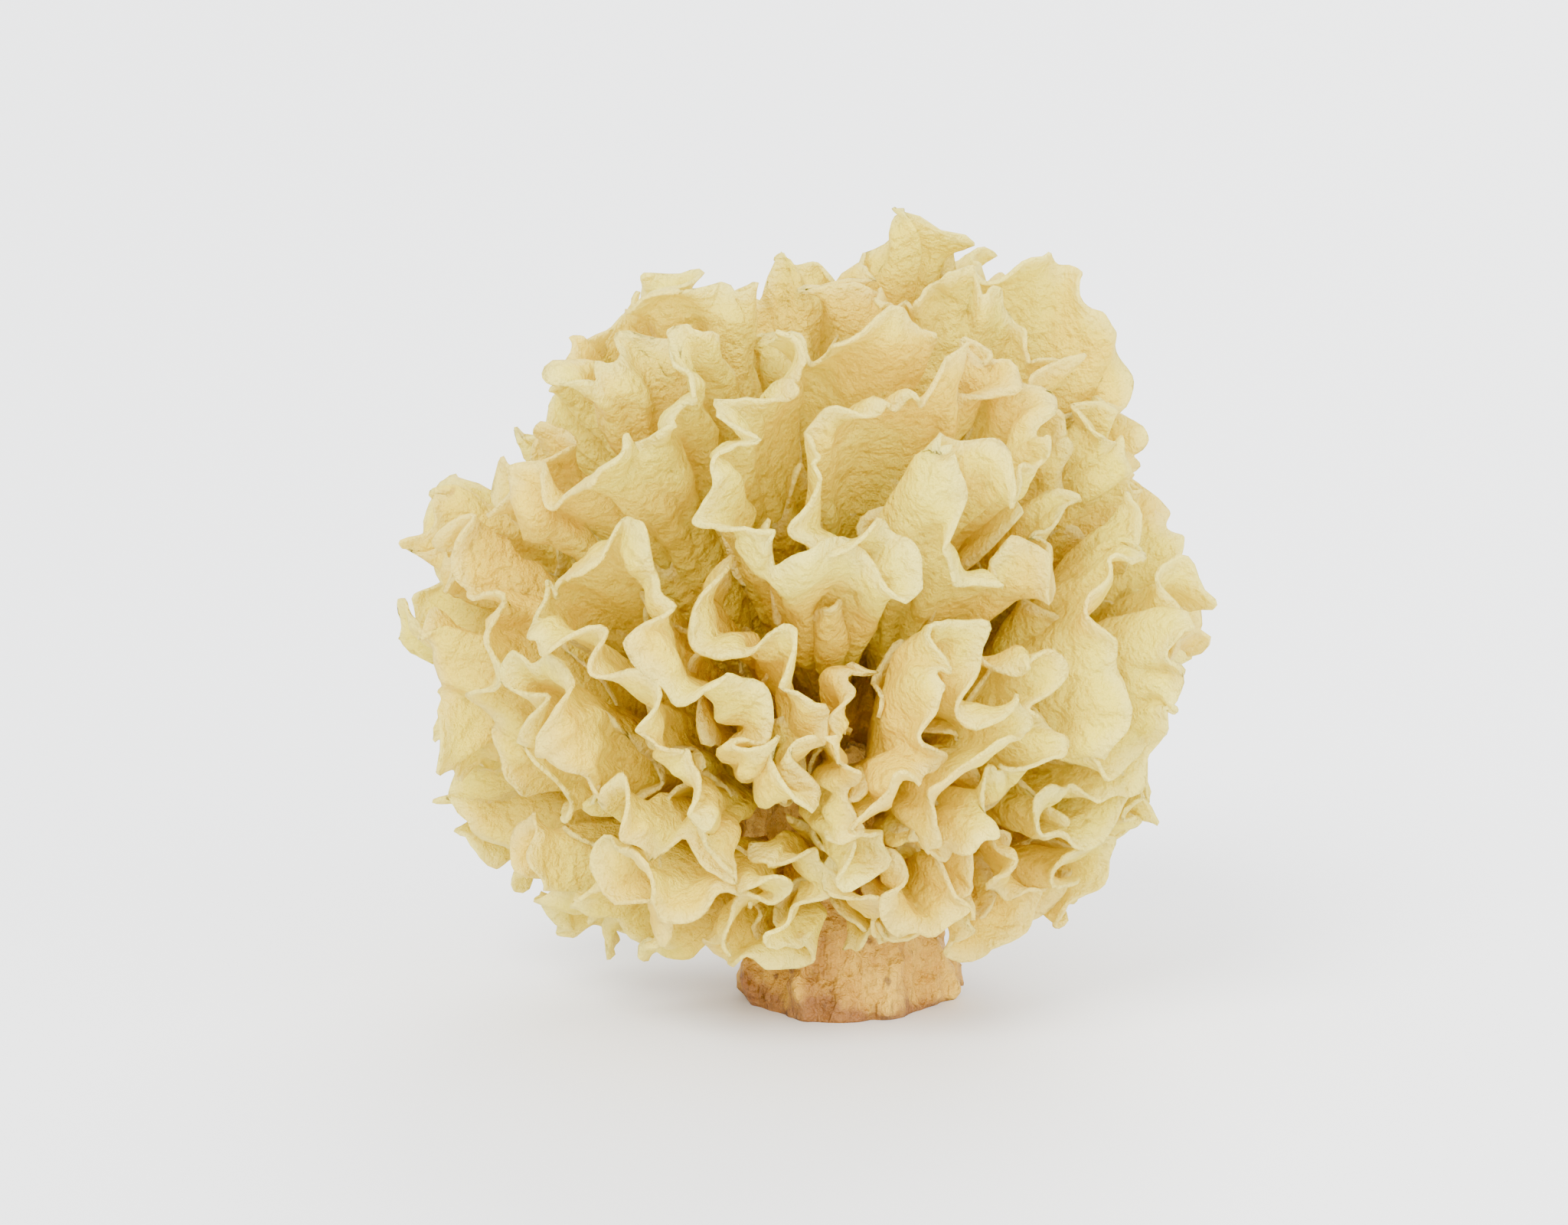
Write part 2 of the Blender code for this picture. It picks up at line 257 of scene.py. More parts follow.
LAMPS = (  # name, where it shines from, strength, angle that it fills in radians
    ("key", (-0.5, -0.9, 1.0), 4.6, 0.5),
    ("fill", (0.9, -0.8, 0.35), 2.4, 0.9),
    ("front", (0.05, -1.0, 0.2), 2.8, 0.7),
    ("back", (0.3, 0.9, 0.7), 2.4, 0.7),
)
ROOM_COLOUR = (0.97, 0.98, 1.0, 1.0)
ROOM_STRENGTH = 2.3
CAMERA_LENS = 100.0
CAMERA_AIM = (-0.006, 0.0, 0.038)
CAMERA_ELEVATION = math.radians(10.0)
CAMERA_DISTANCE = 0.42
CAMERA_RANGE = (0.01, 20.0)


def unit(v):
    return v / np.linalg.norm(v, axis=-1, keepdims=True)


def lobe_axes():
    azimuth, polar, reach = np.array(LOBES).T
    azimuth, polar = np.radians(azimuth), np.radians(polar)
    flat = np.sin(polar)
    return np.stack([flat * np.cos(azimuth), flat * np.sin(azimuth), np.cos(polar)], axis=1), reach


def outline(u, axes, reaches):
    """Distance from the growth point to the lobed outer surface, along each unit vector u."""
    offset = (GROWTH_POINT - BODY_CENTRE) / BODY_SEMI_AXES
    ray = u / BODY_SEMI_AXES
    a = (ray * ray).sum(-1)
    b = (ray * offset).sum(-1)
    c = (offset * offset).sum() - 1.0
    to_body = (-b + np.sqrt(np.maximum(b * b - a * c, 0.0))) / a
    share = np.exp(LOBE_SHARPNESS * (u @ axes.T - 1.0))
    share /= share.sum(-1, keepdims=True)
    return to_body * (share @ reaches) * (1.0 - LOBE_DIP * (1.0 - share.max(-1)))


def distance_out(u, t, axes, reaches):
    return ROOT_RADIUS + (outline(u, axes, reaches) - ROOT_RADIUS) * t


def evened(rows, reach):
    """Rows of points, smoothed along each row over this many columns to either side, with its ends held."""
    column = np.arange(COLUMNS)
    from_end = np.minimum(column, COLUMNS - 1 - column)
    stride = 1
    while stride <= reach:
        step = np.minimum(stride, from_end)
        rows = 0.5 * rows + 0.25 * (rows[:, column - step] + rows[:, column + step])
        stride *= 2
    return rows


def root_lines(axes, rng):
    """A short, slightly wavy line of unit vectors round each lobe's axis."""
    s = np.linspace(-1.0, 1.0, COLUMNS)
    half_angle = 0.5 * ROOT_LENGTH / ROOT_RADIUS
    lines = []
    for axis in axes:
        side = unit(np.cross(axis, rng.normal(size=3)))
        side = unit(side * (1.0, 1.0, 1.0 if axis[2] > STEEP else LEVEL_SHARE))
        up = np.cross(axis, side)
        wave = ROOT_WAVE * np.sin(s * rng.uniform(*ROOT_WAVE_TURNS) + rng.uniform(*ROOT_WAVE_PHASE))
        lines.append(unit(axis + np.outer(half_angle * s, side) + np.outer(wave, up)))
    return np.concatenate(lines)


def full_lengths(axes, reaches, rng):
    """Rim length of each frond, from the share of the outer surface that its lobe takes up."""
    probes = unit(rng.normal(size=(PROBES, 3)))
    probes = probes[probes[:, 2] > LOWEST_SLOPE]
    lobe = (probes @ axes.T).argmax(1)
    area = np.bincount(lobe, weights=outline(probes, axes, reaches) ** 2, minlength=len(axes))
    width = np.sqrt(area * (4.0 * math.pi / PROBES)) - LOBE_EDGE
    return RIM_PER_AREA * width ** 2 / FROND_SPACING


def near_pairs(x, reach_of_touch, owner, spread):
    """Pairs of points that are close in space but not next to each other along the same frond."""
    square = (x * x).sum(1)
    apart = square[:, None] + square[None, :] - 2.0 * x @ x.T
    i, j = np.nonzero(apart < reach_of_touch ** 2)
    i, j = i[i < j], j[i < j]
    along = np.where(owner[i] == owner[j], (j - i) * spread[owner[i]], OTHER_FROND)
    apart_on_sheet = along > APART_ALONG * reach_of_touch
    return i[apart_on_sheet], j[apart_on_sheet]


def grown_rows(axes, reaches, rng):
    """Unit vectors of every frond's points, row by row: rows x fronds x columns x 3."""
    fronds = len(axes)
    shape = (fronds, COLUMNS, 3)
    owner = np.repeat(np.arange(fronds), COLUMNS)
    index = np.arange(fronds * COLUMNS)
    start = index[(index + 1) % COLUMNS != 0]
    rim_length = full_lengths(axes, reaches, rng)
    u = root_lines(axes, rng)
    crowding = rng.normal(size=(CROWDING_WAVES, 3)) * CROWDING_TURNS
    rows = []
    for t in np.linspace(0.0, 1.0, STAGES + 1):
        gap = FROND_SPACING * (ROOT_SPACING_SHARE + (1.0 - ROOT_SPACING_SHARE) * t)
        link = ((ROOT_LENGTH + (rim_length - ROOT_LENGTH) * t) / (COLUMNS - 1))[owner[start]]
        x = u * distance_out(u, t, axes, reaches)[:, None]
        bend = BEND_SHARE * gap / np.median(np.linalg.norm(x[start + 1] - x[start], axis=1))
        wobble = evened(evened(rng.normal(size=shape), 2.0 * bend), bend).reshape(-1, 3)
        wobble *= WOBBLE * gap / wobble.std()
        for settle in range(SETTLES):
            out = distance_out(u, t, axes, reaches)[:, None]
            x = u * out
            move = EVEN_PULL * (evened(x.reshape(shape), bend).reshape(-1, 3) - x)
            if settle == 0:
                move += wobble
            # Each link grows towards its length, a little at a time
            step = x[start + 1] - x[start]
            far = np.linalg.norm(step, axis=1)
            pull = LINK_PULL * (1.0 - np.minimum(link / far, LINK_GROWTH))[:, None] * step
            np.add.at(move, start, pull)
            np.add.at(move, start + 1, -pull)
            # Folds that come too close push each other away
            room = gap * (1.0 + SPACING_VARIATION * np.tanh(np.sin(u @ crowding.T).sum(-1)))
            spread = np.linalg.norm(np.diff(x.reshape(shape), axis=1), axis=2).mean(1)
            i, j = near_pairs(x, TOUCH * gap, owner, spread)
            step = x[j] - x[i]
            far = np.linalg.norm(step, axis=1)
            push = (TOUCH_PUSH * np.maximum(0.5 * (room[i] + room[j]) / far - 1.0, 0.0))[:, None] * step
            np.add.at(move, i, -push)
            np.add.at(move, j, push)
            # A frond stays in its own lobe
            along_axis = u @ axes.T
            own = along_axis[index, owner]
            along_axis[index, owner] = NOT_A_NEIGHBOUR
            other = along_axis.argmax(1)
            over = along_axis[index, other] - own + ROOT_MARGIN + (RIM_MARGIN - ROOT_MARGIN) * t
            move += LOBE_PULL * np.maximum(over, 0.0)[:, None] * (axes[owner] - axes[other]) * out
            size = np.linalg.norm(move, axis=1, keepdims=True)
            x += move * np.minimum(1.0, LONGEST_MOVE * gap / np.maximum(size, 1e-12))
            u = unit(x)
            u[:, 2] += 0.5 * np.maximum(LOWEST_SLOPE + SLOPE_MARGIN - u[:, 2], 0.0)
            u = unit(u)
        rows.append(u.reshape(shape))
    rows = np.array(rows)
    for _ in range(LAST_ROW_EVENINGS):
        middle = 0.5 * rows[1:-1] + 0.25 * (rows[:-2] + rows[2:])
        rows = unit(np.concatenate([rows[:1], middle, rows[-1:]]))
    return unit(evened(rows.reshape(-1, COLUMNS, 3), LAST_COLUMN_REACH)).reshape(rows.shape)


def rim_heights(frond, columns):
    """How far out each column of a frond reaches, as a share of the outline."""
    rng = np.random.default_rng(RIM_SEED + frond)
    s = np.linspace(0.0, 1.0, columns)
    turn = 2.0 * math.pi * RIM_WAVES * s
    steps = range(1, RIM_WAVE_COUNT + 1)
    waves = sum(np.sin(turn * k + rng.uniform(*ANY_PHASE)) / k ** RIM_WAVE_FALL for k in steps)
    ends = np.exp(-END_FALL * s) + np.exp(-END_FALL * (1.0 - s))
    return 1.0 - 0.5 * RIM_DIP * (1.0 + np.tanh(RIM_WAVE_SHARPNESS * waves)) - END_DIP * ends


def lean(u, t, distance):
    """Sideways shift of the outer rows, the same for neighbours, so that the rims lean over together."""
    rng = np.random.default_rng(LEAN_SEED)
    shift = np.zeros_like(u)
    for _ in range(LEAN_WAVE_COUNT):
        wave = rng.normal(size=3) * LEAN_WAVES
        direction = unit(rng.normal(size=3))
        shift += np.sin(u @ wave + rng.uniform(*ANY_PHASE))[..., None] * direction
    shift -= (shift * u).sum(-1, keepdims=True) * u
    size = np.linalg.norm(shift, axis=-1, keepdims=True)
    shift *= np.tanh(LEAN_SHARPNESS * size) / np.maximum(size, 1e-9)
    ramp = np.clip((t - LEAN_START) / (1.0 - LEAN_START), 0.0, 1.0) ** LEAN_GROWTH
    return shift * LEAN * distance * ramp[..., None]


def finer_columns(rows, columns):
    """Rows of points on smooth curves through the given ones, with this many columns."""
    s = np.linspace(0.0, rows.shape[1] - 1.0, columns)
    i = np.minimum(s.astype(int), rows.shape[1] - 2)
    w = (s - i)[None, :, None]
    before, here = rows[:, np.maximum(i - 1, 0)], rows[:, i]
    after, beyond = rows[:, i + 1], rows[:, np.minimum(i + 2, rows.shape[1] - 1)]
    bend = (2.0 * before - 5.0 * here + 4.0 * after - beyond) * w ** 2
    twist = (3.0 * here - before - 3.0 * after + beyond) * w ** 3
    return unit(0.5 * (2.0 * here + (after - before) * w + bend + twist))


def random_waves(place, lengths, rng, count=WAVE_COUNT):
    """Uneven waves of about unit height along a line, or a set of lines, of places in metres."""
    longest, shortest = lengths
    total = 0.0
    power = 0.0
    for k in range(count):
        length = longest * (shortest / longest) ** (k / (count - 1)) * rng.uniform(*WAVE_SPREAD)
        height = length ** WAVE_FALL
        total = total + height * np.sin(2.0 * math.pi * place / length + rng.uniform(*ANY_PHASE))
        power += 0.5 * height * height
    return total / math.sqrt(power)


def swings(place, lengths, sharpness, rng, count=WAVE_COUNT):
    """The same waves between -1 and 1, flatter at both ends the sharper they are."""
    return np.tanh(sharpness * random_waves(place, lengths, rng, count))


def crumple(x, length, seed_or_rng):
    """A smooth random field of shifts of about unit size at points x, so neighbours are shifted alike."""
    rng = np.random.default_rng(seed_or_rng)
    shift = np.zeros_like(x)
    for _ in range(CRUMPLE_WAVES):
        wave = unit(rng.normal(size=3)) * 2.0 * math.pi / (length * rng.uniform(*CRUMPLE_SPREAD))
        shift += np.sin(x @ wave + rng.uniform(*ANY_PHASE))[..., None] * unit(rng.normal(size=3))
    # A sine has a mean square of 1/2, and a unit vector one of 1/3 along each axis
    return shift * math.sqrt(2.0 * 3.0 / CRUMPLE_WAVES)


def softened(rows, times):
    """Rows with their sharpest bends taken out, ends held."""
    for _ in range(times):
        middle = 0.5 * rows[:, 1:-1] + 0.25 * (rows[:, :-2] + rows[:, 2:])
        rows = np.concatenate([rows[:, :1], middle, rows[:, -1:]], axis=1)
    return rows


def sheet_normals(points):
    """The softened direction across the sheet, and the direction outwards along it."""
    along = np.gradient(points, axis=1)
    out = np.gradient(points, axis=0)
    return unit(softened(unit(np.cross(along, out)), NORMAL_SOFTENING)), unit(out)


def sheet_grid(own, start, tops, steps, axes, reaches):
    """The smooth mid surface from a level up to the tops, row by row, and the level of each point."""
    column = np.arange(own.shape[1])
    points, levels = [], []
    for share in 1.0 - (1.0 - np.linspace(0.0, 1.0, steps)) ** ROW_CROWDING:
        t = start + share * (tops - start)
        row = np.minimum((t * STAGES).astype(int), STAGES - 1)
        part = (t * STAGES - row)[:, None]
        u = unit(own[row, column] * (1.0 - part) + own[row + 1, column] * part)
        far = distance_out(u, t, axes, reaches)[:, None]
        points.append(GROWTH_POINT + u * far + lean(u, t, far))
        levels.append(t)
    return np.array(points), np.array(levels)


def ruffled(points, levels, place, share, rng):
    """The sheet ruffled, curled and crumpled, with the level of each point and its way to the lip."""
    to_lip = np.linalg.norm(np.diff(points, axis=0), axis=2)[::-1].cumsum(0)[::-1]
    to_lip = np.concatenate([to_lip, np.zeros((1, points.shape[1]))])
    normals, outwards = sheet_normals(points)
    field = crumple(points, LIVELY_LENGTH, LIVELY_SEED)[..., 0]
    lively = LIVELY_MEAN + LIVELY_SWING * np.tanh(LIVELY_SHARPNESS * field)
    grows = np.clip((levels - RUFFLE_START) / (1.0 - RUFFLE_START), 0.0, 1.0)
    outermost = np.clip(1.0 - to_lip / FRILL_WIDTH, 0.0, 1.0) ** FRILL_GROWTH
    lip = np.clip(1.0 - to_lip / CURL_WIDTH, 0.0, 1.0)
    ruffle = random_waves(place + RUFFLE_SLANT * levels, RUFFLE_LENGTHS, rng)
    frill = random_waves(place + FRILL_SLANT * levels, FRILL_LENGTHS, rng)
    curl = swings(place, CURL_LENGTHS, CURL_SHARPNESS, rng, CURL_WAVES)
    sideways = RUFFLE_DEPTH * grows ** RUFFLE_GROWTH * ruffle + FRILL_DEPTH * outermost * frill
    sideways = lively * sideways + CURL_REACH * curl * lip ** CURL_GROWTH
    points = points + normals * (share * sideways)[..., None]
    points -= outwards * (CURL_SINK * share * CURL_REACH * np.abs(curl) * lip ** CURL_SINK_GROWTH)[..., None]
    points = softened(points, LIP_SOFTENING)
    for number, (length, depth) in enumerate(CRUMPLES):
        field = crumple(points, length * MM, CRUMPLE_SEED + number)
        points += field * (CRUMPLE_AXIS_SHARE * depth * MM * grows * (0.5 + 0.5 * lively))[..., None]
    return points, levels, to_lip


def outer_sheet(own, length, number, axes, reaches, rng):
    """The frond's own sheet, out to a ragged and notched rim."""
    columns = int(length / RIM_STEP)
    place = np.linspace(0.0, length, columns)
    fine = finer_columns(own, columns)
    ragged = 0.5 + 0.5 * swings(place, RAGGED_LENGTHS, RAGGED_SHARPNESS, rng)
    notches = 0.5 + 0.5 * swings(place, NOTCH_LENGTHS, NOTCH_SHARPNESS, rng)
    lowered = (ragged * RAGGED_DEPTH + notches * NOTCH_DEPTH) / outline(fine[-1], axes, reaches)
    tops = rim_heights(number, columns) - lowered
    points, levels = sheet_grid(fine, 0.0, tops, SHEET_ROWS, axes, reaches)
    points[0] -= unit(points[0] - GROWTH_POINT) * ROOT_BURIED
    return ruffled(points, levels, place, 1.0, rng)


def inner_frill(own, length, number, axes, reaches, rng):
    """The shorter frill that branches off the frond, now to one side and now to the other."""
    columns = int(length / INNER_STEP)
    place = np.linspace(0.0, length, columns)
    fine = finer_columns(unit(evened(own, INNER_COLUMN_REACH)), columns)
    high = 0.5 + 0.5 * swings(place, INNER_RIM_LENGTHS, INNER_RIM_SHARPNESS, rng)
    tops = rim_heights(number, columns) * (INNER_LOWEST + (INNER_HIGHEST - INNER_LOWEST) * high)
    points, levels = sheet_grid(fine, INNER_START, tops, INNER_ROWS, axes, reaches)
    side = swings(place, INNER_SIDE_LENGTHS, INNER_SIDE_SHARPNESS, rng, INNER_SIDE_WAVES)
    away = np.clip((levels - INNER_START) / INNER_BRANCHING, 0.0, 1.0) ** INNER_BRANCH_CURVE
    points += sheet_normals(points)[0] * (INNER_OFFSET * side * away)[..., None]
    return ruffled(softened(points, INNER_SOFTENING), levels, place, INNER_RUFFLE_SHARE, rng)


def frond_sheets(rows, number, axes, reaches):
    own = rows[:, number]
    rim = own[-1] * distance_out(own[-1], np.ones(COLUMNS), axes, reaches)[:, None]
    length = np.linalg.norm(np.diff(rim, axis=0), axis=1).sum()
    rng = np.random.default_rng(SHEET_SEED + number)
    return [make(own, length, number, axes, reaches, rng) for make in (outer_sheet, inner_frill)]


class Value:
    """A shader socket that the usual operators work on."""

    def __init__(self, shader, socket):
        self.shader = shader
        self.socket = socket

    def reckon(self, operation, first, second):
        return self.shader.node("ShaderNodeMath", {"operation": operation}, {0: first, 1: second})

    def __add__(self, other):
        return self.reckon("ADD", self, other)

    __radd__ = __add__

    def __sub__(self, other):
        return self.reckon("SUBTRACT", self, other)

    def __rsub__(self, other):
        return self.reckon("SUBTRACT", other, self)

    def __mul__(self, other):
        return self.reckon("MULTIPLY", self, other)

    __rmul__ = __mul__


class Shader:
    """One material's node tree, started empty."""

    def __init__(self, name):
        self.material = bpy.data.materials.new(name)
        self.material.use_nodes = True
        self.tree = self.material.node_tree
        self.tree.nodes.clear()

    def node(self, kind, settings=None, inputs=None, output=0):
        made = self.tree.nodes.new(kind)
        for name, value in (settings or {}).items():
            if name == "stops":
                ramp = made.color_ramp.elements
                while len(ramp) < len(value):
                    ramp.new(0.5)
                for element, (position, colour) in zip(ramp, value):
                    element.position = position
                    element.color = (*colour, 1.0)
            else:
                setattr(made, name, value)
        for name, value in (inputs or {}).items():
            if isinstance(value, Value):
                self.tree.links.new(value.socket, made.inputs[name])
            else:
                made.inputs[name].default_value = value
        return Value(self, made.outputs[output]) if len(made.outputs) else None

    def place(self):
        return self.node("ShaderNodeTexCoord", output="Object")

    def attribute(self, name):
        return self.node("ShaderNodeAttribute", {"attribute_name": name}, output="Fac")

    def noise(self, scale, detail=3.0, roughness=0.55, stretch=(1.0, 1.0, 1.0)):
        where = self.node("ShaderNodeMapping", None, {"Vector": self.place(), "Scale": stretch})
        settings = {"Vector": where, "Scale": scale, "Detail": detail, "Roughness": roughness}
        return self.node("ShaderNodeTexNoise", None, settings)

    def between(self, value, low, high):
        """0 below low, 1 above high, smooth in between."""
        settings = {"interpolation_type": "SMOOTHSTEP"}
        return self.node("ShaderNodeMapRange", settings, {"Value": value, "From Min": low, "From Max": high})

    def ramp(self, value, stops):
        return self.node("ShaderNodeValToRGB", {"stops": stops}, {"Fac": value})

    def mix(self, factor, first, second):
        inputs = {0: factor, 6: first, 7: second}
        return self.node("ShaderNodeMix", {"data_type": "RGBA"}, inputs, output=2)

    def bump(self, height, distance):
        return self.node("ShaderNodeBump", None, {"Height": height, "Distance": distance, "Strength": 1.0})

    def finish(self, surface):
        self.node("ShaderNodeOutputMaterial", None, {"Surface": surface})
        return self.material


def flesh(name, tint):
    """Thin dry flesh that lets light through: amber in the depths, partly its own tone and partly painted
    shade between the fronds, cream further out, pale at the lips.
    """
    shader = Shader(name)
    outward = shader.attribute("outward")
    to_lip = shader.attribute("to_lip")
    patches = shader.noise(scale=90.0)
    mottle = shader.noise(scale=420.0, detail=4.0, roughness=0.6)
    level = outward + PATCH_SWAY * (patches - 0.5) + MOTTLE_SWAY * (mottle - 0.5) + tint
    # Painted shade: the colour darkens towards the roots, where the fronds crowd, on top of the flesh's own
    # amber.
    colour = shader.ramp(level, FLESH_TONE_AND_SHADE_STOPS)
    warm = shader.between(shader.noise(scale=52.0, detail=2.0), low=0.46, high=0.64)
    colour = shader.mix(warm * FLESH_WARM_SHARE, colour, FLESH_WARM)
    lip = 1.0 - shader.between(to_lip, LIP_FROM, LIP_TO)
    colour = shader.mix(lip * FLESH_LIP_SHARE, colour, FLESH_LIP)
    specks = shader.between(shader.noise(scale=310.0, detail=2.0), low=0.735, high=0.80)
    colour = shader.mix(specks * FLESH_SPECK_SHARE, colour, FLESH_SPECK)
    fine_wrinkles = shader.noise(scale=1100.0, detail=4.0, roughness=0.6)
    wrinkles = fine_wrinkles + BROAD_WRINKLES * shader.noise(scale=380.0, roughness=0.5)
    normal = shader.bump(wrinkles, WRINKLE_DEPTH)
    roughness = FLESH_ROUGHNESS + FLESH_ROUGHNESS_SWAY * shader.noise(scale=260.0, detail=2.0)
    body = shader.node(
        "ShaderNodeBsdfPrincipled",
        None,
        {"Base Color": colour, "Roughness": roughness, "Normal": normal, "IOR": FLESH_IOR},
    )
    through = shader.node("ShaderNodeBsdfTranslucent", None, {"Color": FLESH_GLOW, "Normal": normal})
    return shader.finish(shader.node("ShaderNodeMixShader", None, {0: FLESH_GLOW_SHARE, 1: body, 2: through}))


def foot_skin():
    """Dull tan skin with lengthways creases, brown and ragged at the edge of the cut."""
    shader = Shader("foot_skin")
    height = shader.node("ShaderNodeSeparateXYZ", None, {"Vector": shader.place()}, output="Z")
    creases = shader.noise(scale=260.0, detail=4.0, roughness=0.6, stretch=SKIN_CREASE_STRETCH)
    patches = shader.noise(scale=120.0, detail=4.0, roughness=0.6)
    colour = shader.ramp(creases, SKIN_STOPS)
    inside = shader.between(height, INSIDE_FROM, INSIDE_TO)
    colour = shader.mix(inside, colour, SKIN_INSIDE)
    edge = 1.0 - shader.between(height + EDGE_SWAY * (patches - 0.5), EDGE_FROM, EDGE_TO)
    colour = shader.mix(edge * SKIN_EDGE_SHARE, colour, SKIN_EDGE)
    specks = shader.between(shader.noise(scale=430.0, detail=2.0), low=0.62, high=0.69)
    colour = shader.mix(specks * SKIN_SPECK_SHARE, colour, SKIN_SPECK)
    relief = creases * SKIN_CREASES + shader.noise(scale=800.0, detail=4.0, roughness=0.6)
    surface = shader.node(
        "ShaderNodeBsdfPrincipled",
        None,
        {
            "Base Color": colour,
            "Roughness": SKIN_ROUGHNESS + SKIN_ROUGHNESS_SWAY * (patches - 0.5),
            "Normal": shader.bump(relief, SKIN_DEPTH),
        },
    )
    return shader.finish(surface)


def plain(name, colour, roughness):
    shader = Shader(name)
    inputs = {"Base Color": (*colour, 1.0), "Roughness": roughness}
    return shader.finish(shader.node("ShaderNodeBsdfPrincipled", None, inputs))


def add_object(name, bm, material):
    mesh = bpy.data.meshes.new(name)
    bm.to_mesh(mesh)
    bm.free()
    mesh.shade_smooth()
    mesh.materials.append(material)
    made = bpy.data.objects.new(name, mesh)
    bpy.context.scene.collection.objects.link(made)
    return made


def store(made, name, values):
    made.data.attributes.new(name, "FLOAT", "POINT").data.foreach_set("value", values.astype(np.float32))


def dress_frond(number, rows, axes, reaches):
    """One frond: its long thin sheet and the frill inside, both closed."""
    node = f"frond_{number + 1:02d}"
    sheets = frond_sheets(rows, number, axes, reaches)
    bm = bmesh.new()
    for points, _, _ in sheets:
        first = len(bm.verts)
        rows_of_points, columns, _ = points.shape
        bmesh.ops.create_grid(bm, x_segments=columns - 1, y_segments=rows_of_points - 1, size=0.5)
        for vertex, point in zip(list(bm.verts)[first:], points.reshape(-1, 3)):
            vertex.co = point
    levels, to_lip = (np.concatenate([sheet[k].ravel() for sheet in sheets]) for k in (1, 2))
    tint = TINT * math.sin(TINT_TURN * number)
    made = add_object(f"{node}_flesh", bm, flesh(f"{node}_flesh", tint))
    store(made, "outward", levels)
    store(made, "to_lip", to_lip)
    thickness = LIP_WALL_SHARE + (1.0 - LIP_WALL_SHARE) * np.clip(to_lip / CURL_WIDTH, 0.0, 1.0)
    group = made.vertex_groups.new(name="thickness")
    for index, weight in enumerate(thickness):
        group.add([index], float(weight), "REPLACE")
    wall = made.modifiers.new("Wall", "SOLIDIFY")
    wall.thickness = WALL
    wall.offset = 0.0
    wall.vertex_group = "thickness"
    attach(made, "root")
    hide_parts(node)


def foot_profile(rings):
    """Radius and height of each ring of the foot: the cut's edge first, then the neck, then the dome."""
    neck_rings = rings // 2
    s = np.linspace(0.0, 1.0, neck_rings)
    height = FOOT_NECK_TOP * s
    skin = FOOT_SKIN_BULGE * np.exp(-(height / FOOT_SKIN_HEIGHT - 1.0) ** 2)
    radius = FOOT_NECK_RADIUS + (FOOT_CUT_RADIUS - FOOT_NECK_RADIUS) * (1.0 - s) ** 2 + skin
    first = math.asin((FOOT_NECK_TOP - GROWTH_POINT[2]) / FOOT_DOME_RADIUS)
    angle = np.linspace(first, math.pi / 2, rings - neck_rings + 2)[1:-1]
    radius = np.concatenate([radius, FOOT_DOME_RADIUS * np.cos(angle)])
    height = np.concatenate([height, GROWTH_POINT[2] + FOOT_DOME_RADIUS * np.sin(angle)])
    return radius, height


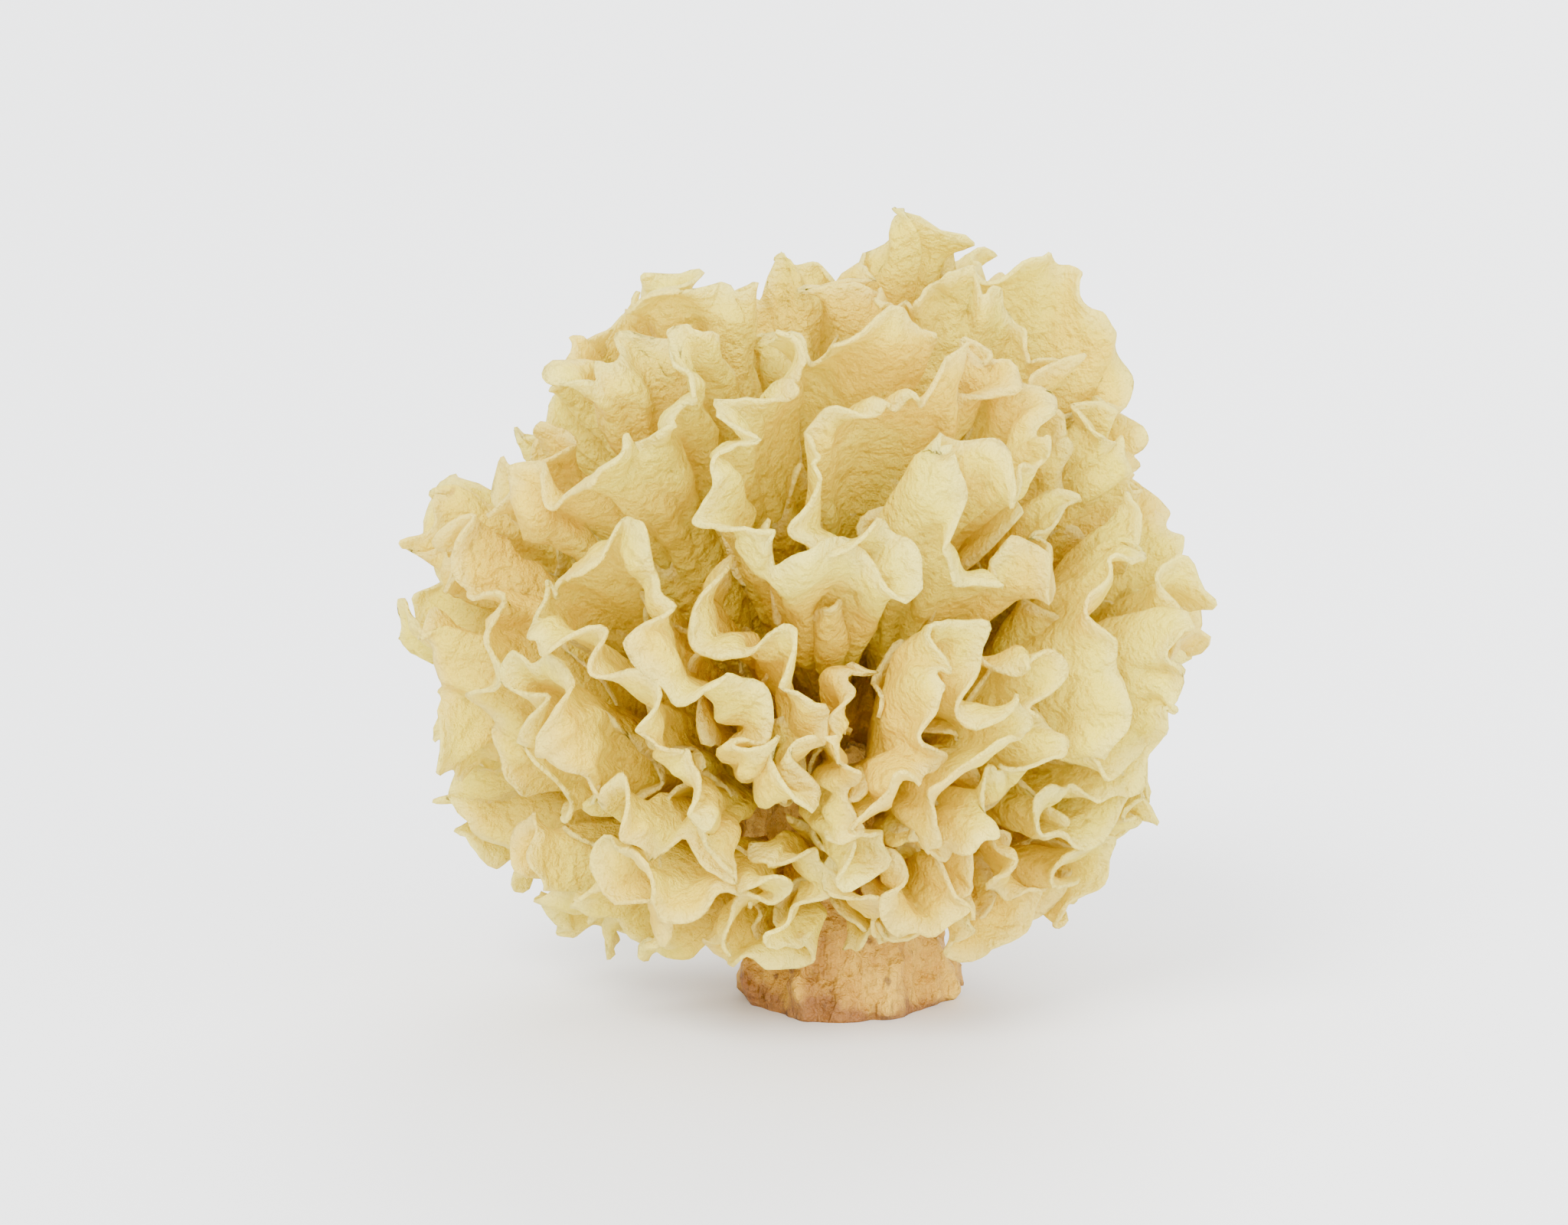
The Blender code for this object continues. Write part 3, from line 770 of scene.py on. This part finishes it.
def foot_points(sphere):
    """Where the points of a round sphere go on the foot: on its profile, uneven round it and creased."""
    radius, height = foot_profile(FOOT_RINGS)
    from_top = np.arccos(np.clip(sphere[:, 2], -1.0, 1.0))
    ring = np.rint((FOOT_RINGS + 1) * (1.0 - from_top / math.pi)).astype(int) - 1
    on_profile = (ring >= 0) & (ring < FOOT_RINGS)
    ring = np.clip(ring, 0, FOOT_RINGS - 1)
    around = np.arctan2(sphere[:, 1], sphere[:, 0])
    uneven = sum(depth * np.sin(lobes * around + phase) for depth, lobes, phase in FOOT_LOBES)
    r = radius[ring] * (1.0 + uneven * np.clip(1.0 - height[ring] / FOOT_LOBES_TOP, 0.0, 1.0))
    z = height[ring]
    placed = np.stack([r * np.cos(around), r * np.sin(around), z], axis=1)
    raised = np.clip(z / FOOT_RAISED, 0.0, 1.0)
    creased = np.clip(CUT_CREASE_SHARE + raised, 0.0, 1.0)
    rng = np.random.default_rng(FOOT_SEED)
    for length, depth, squash in FOOT_CREASES:
        field = crumple(placed * (1.0, 1.0, squash), length * MM, rng)
        field[:, 2] *= raised
        placed += field * depth * MM * creased[:, None] * on_profile[:, None]
    placed[:, 2] = np.where(ring == 0, 0.0, np.maximum(placed[:, 2], 0.0))
    placed[sphere[:, 2] < -POLE] = 0.0
    placed[sphere[:, 2] > POLE] = (0.0, 0.0, GROWTH_POINT[2] + FOOT_DOME_RADIUS)
    return placed


def dress_foot():
    """The foot's stub with creased skin over the same profile as its solid."""
    bm = bmesh.new()
    bmesh.ops.create_uvsphere(bm, u_segments=FOOT_SIDES, v_segments=FOOT_RINGS + 1, radius=1.0)
    sphere = np.array([vertex.co[:] for vertex in bm.verts])
    for vertex, point in zip(bm.verts, foot_points(sphere)):
        vertex.co = point
    made = add_object("foot_stub", bm, foot_skin())
    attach(made, "root")
    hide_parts("foot")


def floor():
    bm = bmesh.new()
    bmesh.ops.create_grid(bm, x_segments=1, y_segments=1, size=FLOOR_SIZE)
    add_object("floor", bm, plain("floor_white", FLOOR_COLOUR, FLOOR_ROUGHNESS))


def lamp(name, direction, strength, angle):
    """A soft, distant lamp that shines from the given direction."""
    data = bpy.data.lights.new(name, "SUN")
    data.energy = strength
    data.angle = angle
    made = bpy.data.objects.new(name, data)
    made.rotation_euler = Vector(direction).to_track_quat("Z", "Y").to_euler()
    bpy.context.scene.collection.objects.link(made)


def room():
    world = bpy.data.worlds.new("pale_room")
    world.use_nodes = True
    world.node_tree.nodes["Background"].inputs["Color"].default_value = ROOM_COLOUR
    world.node_tree.nodes["Background"].inputs["Strength"].default_value = ROOM_STRENGTH
    bpy.context.scene.world = world


def camera():
    data = bpy.data.cameras.new("camera")
    data.lens = CAMERA_LENS
    data.clip_start, data.clip_end = CAMERA_RANGE
    made = bpy.data.objects.new("camera", data)
    back = Vector((0.0, -math.cos(CAMERA_ELEVATION), math.sin(CAMERA_ELEVATION)))
    made.location = Vector(CAMERA_AIM) + back * CAMERA_DISTANCE
    made.rotation_euler = (-back).to_track_quat("-Z", "Y").to_euler()
    bpy.context.scene.collection.objects.link(made)
    bpy.context.scene.camera = made


def main():
    axes, reaches = lobe_axes()
    rows = grown_rows(axes, reaches, np.random.default_rng(SEED))
    for number in range(len(axes)):
        dress_frond(number, rows, axes, reaches)
    dress_foot()
    floor()
    for settings in LAMPS:
        lamp(*settings)
    room()
    camera()


main()
